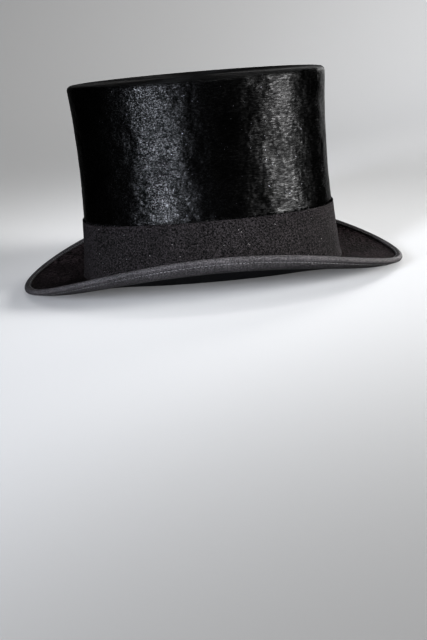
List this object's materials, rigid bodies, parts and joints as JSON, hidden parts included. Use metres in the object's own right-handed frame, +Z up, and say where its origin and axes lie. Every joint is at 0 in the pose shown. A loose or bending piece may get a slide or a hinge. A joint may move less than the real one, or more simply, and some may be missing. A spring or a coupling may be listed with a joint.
{
  "type": "top hat",
  "caption": "Black silk plush top hat with a waisted flat-topped crown, cloth band, curled bound brim, leather sweatband and satin lining.",
  "frame": {"origin": "on the plane that the brim rests on, under the middle of the hat", "axes": "+Z up along the crown, -Y the wearer's front, +X the wearer's left"},
  "size_m": [0.255, 0.31, 0.1584],
  "materials": {
    "goss": "shellacked muslin, stiff and slightly glossy",
    "silk_plush": "black silk hatter's plush, nap brushed round the crown, strong directional gloss",
    "brim_cloth": "black silk plush on the upper brim, short nap",
    "underbrim_cloth": "bluish black fine merino cloth, matt",
    "grosgrain": "charcoal ribbed silk ribbon",
    "band_cloth": "matt charcoal black wool cloth with fine lint",
    "linen": "stiff linen strip",
    "satin": "cream silk satin",
    "leather": "tan calf leather, worn smooth",
    "oilcloth": "brown oilcloth tape",
    "cane": "split cane reed",
    "ribbon": "narrow black satin ribbon",
    "label_silk": "blank silk label with a plain printed border",
    "ticket_paper": "aged blank paper",
    "black_thread": "waxed black thread",
    "light_thread": "natural linen thread"
  },
  "bodies": {
    "root": {"crown_side_shell": "goss", "crown_tip_shell": "goss", "brim_shell": "goss", "robbin_strip": "linen", "plush_side_cover": "silk_plush", "plush_tip_cover": "silk_plush", "brim_top_cover": "brim_cloth", "underbrim_cover": "underbrim_cloth", "brim_binding": "grosgrain", "binding_stitches": "black_thread", "hat_band": "band_cloth", "hat_band_stitches": "black_thread", "lining_side": "satin", "lining_tip": "satin", "lining_stitches": "light_thread", "reed_tape": "oilcloth", "sweatband": "leather", "sweatband_reed": "cane", "sweatband_stitches": "light_thread", "sweatband_bow": "ribbon", "tip_label": "label_silk", "size_ticket": "ticket_paper"}
  },
  "joints": []
}
